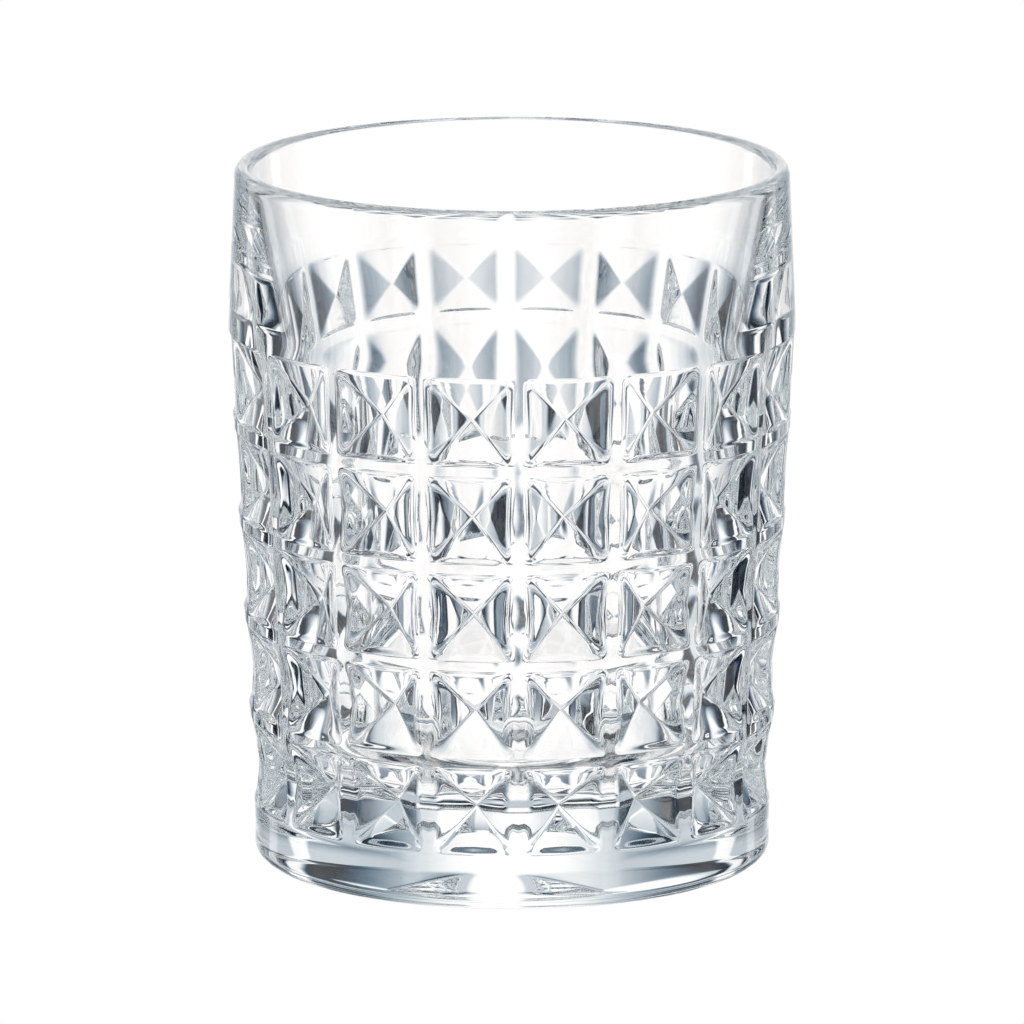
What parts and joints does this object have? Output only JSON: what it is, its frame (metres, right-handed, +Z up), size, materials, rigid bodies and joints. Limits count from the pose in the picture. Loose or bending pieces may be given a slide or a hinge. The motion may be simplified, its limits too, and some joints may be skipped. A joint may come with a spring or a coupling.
{
  "type": "whiskey tumbler",
  "caption": "Clear pressed-glass whiskey tumbler with a smooth rim band, a grid of recessed cross-cut cells and a thick solid base.",
  "frame": {"origin": "centre of the resting ring, at the level of the surface the glass stands on", "axes": "+Z up along the axis of the glass, towards the rim; -Y is the front"},
  "size_m": [0.0767, 0.0766, 0.095],
  "materials": {
    "clear_glass": "clear, fire-polished soda-lime glass, colourless with a faint cool grey tint where it is thick"
  },
  "bodies": {
    "root": {"tumbler": "clear_glass"}
  },
  "joints": []
}
